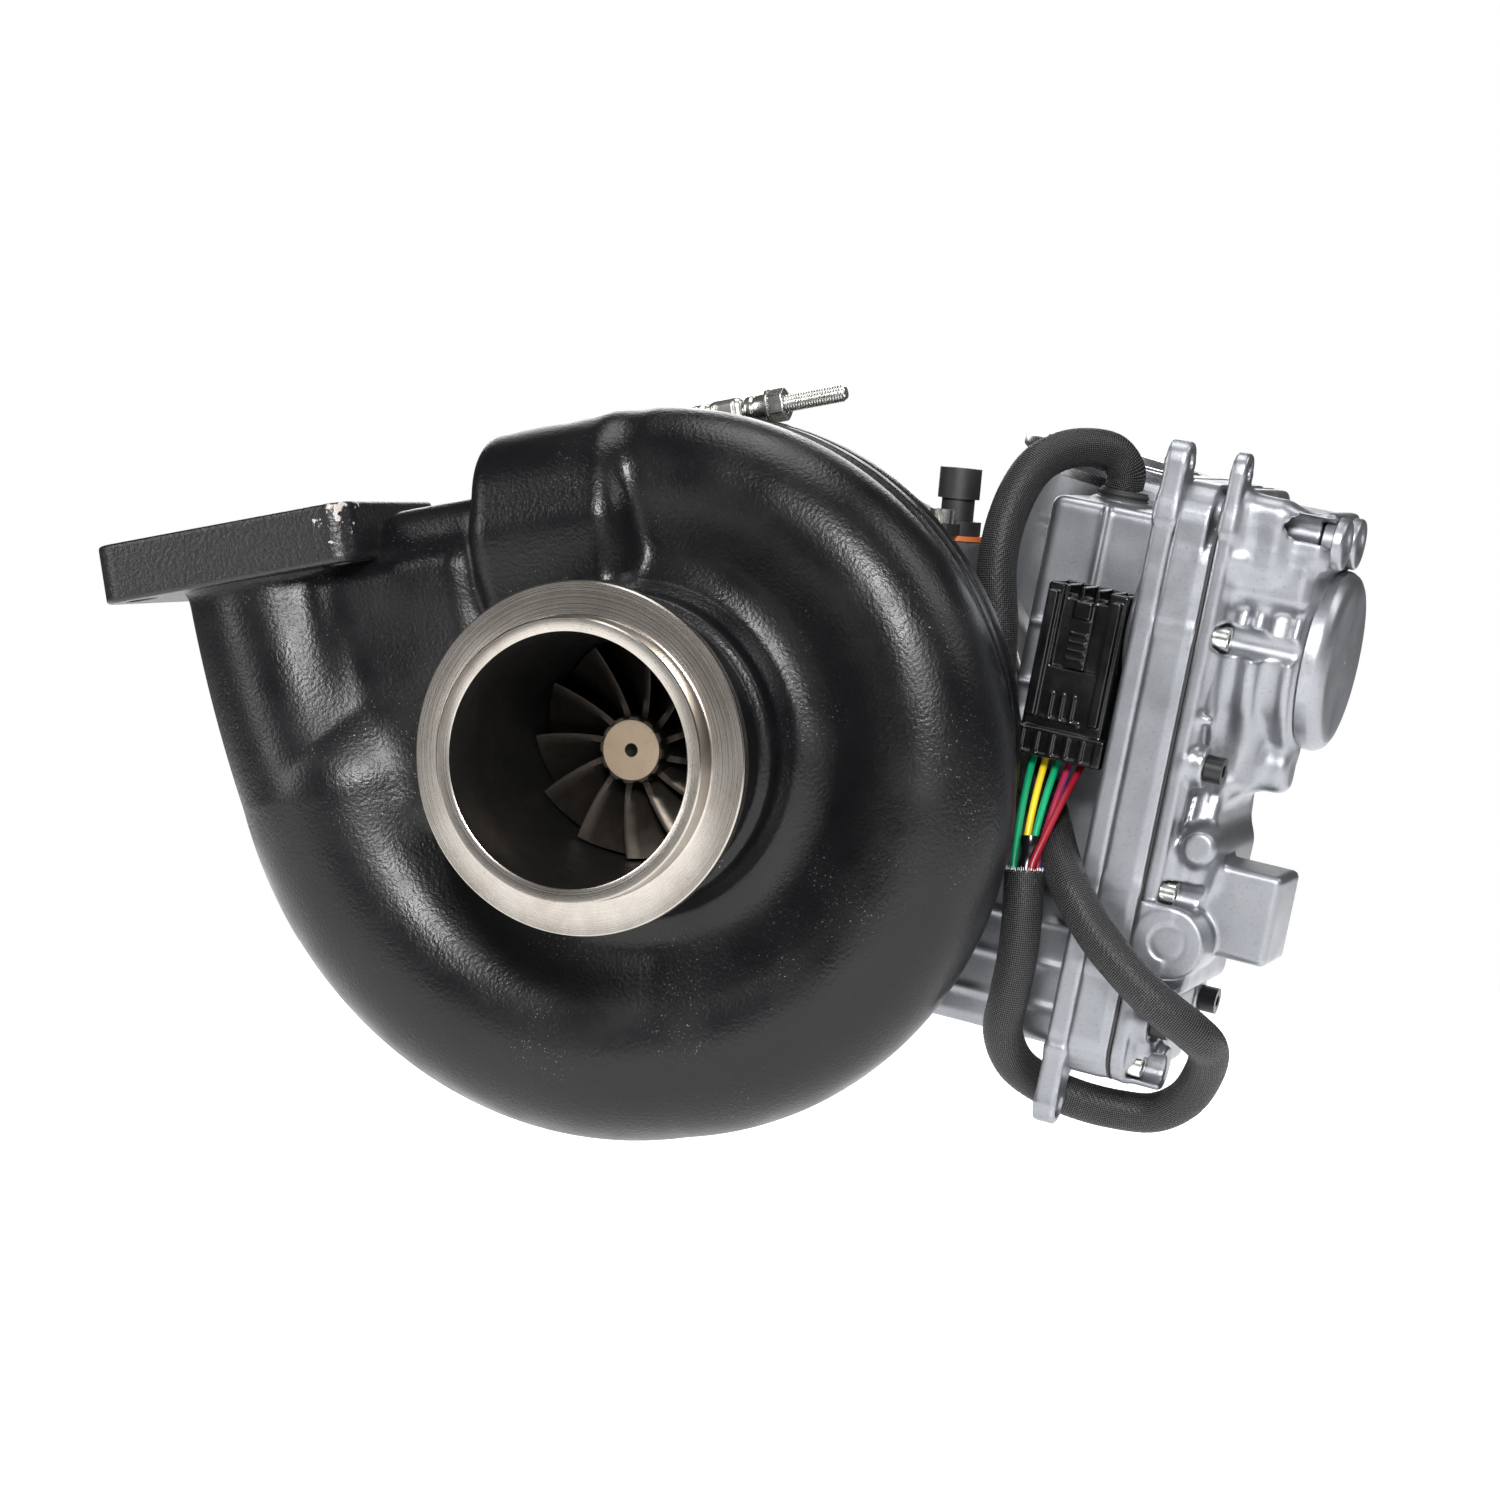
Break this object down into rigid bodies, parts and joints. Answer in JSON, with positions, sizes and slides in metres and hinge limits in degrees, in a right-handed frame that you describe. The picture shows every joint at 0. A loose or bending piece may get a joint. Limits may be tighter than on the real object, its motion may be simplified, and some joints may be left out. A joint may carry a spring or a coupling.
{
  "type": "turbocharger",
  "caption": "Variable-geometry turbocharger: black volute turbine housing, sliding nozzle ring, aluminium compressor and geared electric nozzle actuator with its harness.",
  "frame": {"origin": "rotor axis at the front face of the turbine outlet's V-band flange", "axes": "+Y along the rotor from the turbine outlet towards the compressor, +Z the outward normal of the turbine inlet flange, +X towards the actuator"},
  "size_m": [0.4289, 0.313, 0.2817],
  "materials": {
    "black_cast": "satin black coated casting",
    "wheel_alloy": "heat-stained cast alloy",
    "ground_steel": "ground",
    "stainless": "satin",
    "zinc": "zinc plated",
    "dark_cast": "raw casting",
    "bronze": "machined",
    "dark_steel": "oiled",
    "cast_aluminium": "cast",
    "machined_aluminium": "machined",
    "die_cast": "die cast, bead blasted",
    "black_plastic": "moulded, slightly glossy",
    "orange_rubber": "moulded",
    "copper": "varnished windings",
    "brass": "machined",
    "green_board": "solder mask",
    "black_rubber": "moulded",
    "black_steel": "black oxide",
    "braided_sleeve": "braided polyester",
    "wire_insulation": "coloured insulation"
  },
  "bodies": {
    "housing": {"turbine_housing": "black_cast", "shroud_plate": "stainless", "heat_shield": "stainless", "turbine_clamp_band": "stainless", "turbine_clamp_bolt": "zinc", "turbine_clamp_nut": "zinc", "bearing_housing": "dark_cast", "rod_bushes": "bronze", "bearing_snap_rings": "dark_steel", "thrust_bearing": "bronze", "piston_rings": "dark_steel", "seal_plate": "cast_aluminium", "speed_sensor": "black_plastic", "sensor_seal": "orange_rubber", "sensor_screw": "zinc", "compressor_cover": "cast_aluminium", "compressor_clamp_band": "stainless", "compressor_clamp_bolt": "zinc", "compressor_clamp_nut": "zinc", "cross_shaft_bushes": "bronze", "actuator_housing": "die_cast", "gearbox_plate": "die_cast", "gear_cover": "die_cast", "motor_cap": "die_cast", "motor_end_plate": "machined_aluminium", "motor_stator": "copper", "motor_bearings": "ground_steel", "idler_spindle": "ground_steel", "circuit_board": "green_board", "cover_gasket": "black_rubber", "round_plugs": "machined_aluminium", "flange_screws": "zinc", "socket_screws": "black_steel", "mounting_screws": "black_steel", "harness_gland": "black_rubber", "harness_sleeve": "braided_sleeve", "harness_wires": "wire_insulation", "connector": "black_plastic", "connector_latch": "black_plastic"},
    "rotor": {"turbine_wheel": "wheel_alloy", "rotor_shaft": "ground_steel", "thrust_collar": "ground_steel", "oil_slinger": "ground_steel", "compressor_wheel": "machined_aluminium", "compressor_nut": "dark_steel"},
    "floating_bearings": {"journal_bearings": "bronze"},
    "nozzle": {"nozzle_ring": "stainless", "push_rods": "stainless"},
    "yoke_assembly": {"cross_shaft": "ground_steel", "yoke": "dark_steel", "yoke_pins": "ground_steel", "sector_gear": "dark_steel"},
    "idler": {"idler_gear": "brass"},
    "motor": {"motor_rotor": "dark_steel", "motor_pinion": "dark_steel"}
  },
  "joints": [
    {"name": "rotor_spin", "type": "hinge", "parent": "housing", "child": "rotor", "pos_m": [0, 0.1, 0], "axis": [0, -1, 0], "continuous": true},
    {"name": "bearing_spin", "type": "hinge", "parent": "housing", "child": "floating_bearings", "pos_m": [0, 0.16, 0], "axis": [0, -1, 0], "continuous": true},
    {"name": "yoke_turn", "type": "hinge", "parent": "housing", "child": "yoke_assembly", "pos_m": [0.07472, 0.165, -0.08438], "axis": [0.9336, 0, -0.3584], "range_deg": [-8.8, 8.8]},
    {"name": "nozzle_slide", "type": "slide", "parent": "housing", "child": "nozzle", "axis": [0, 1, 0], "range_m": [-0.0082, 0.0082]},
    {"name": "idler_turn", "type": "hinge", "parent": "housing", "child": "idler", "pos_m": [0.15438, 0.165, -0.03034], "axis": [0.9336, 0, -0.3584], "range_deg": [-61, 61]},
    {"name": "motor_turn", "type": "hinge", "parent": "housing", "child": "motor", "pos_m": [0.17957, 0.165, 0.00739], "axis": [0.9336, 0, -0.3584], "range_deg": [-265.5, 265.5]}
  ],
  "couplings": [
    {"joint": "bearing_spin", "follows": "rotor_spin", "ratio": 0.3},
    {"joint": "nozzle_slide", "follows": "yoke_turn", "m_per_rad": -0.052},
    {"joint": "idler_turn", "follows": "yoke_turn", "ratio": -6.9},
    {"joint": "motor_turn", "follows": "yoke_turn", "ratio": 30.109}
  ]
}
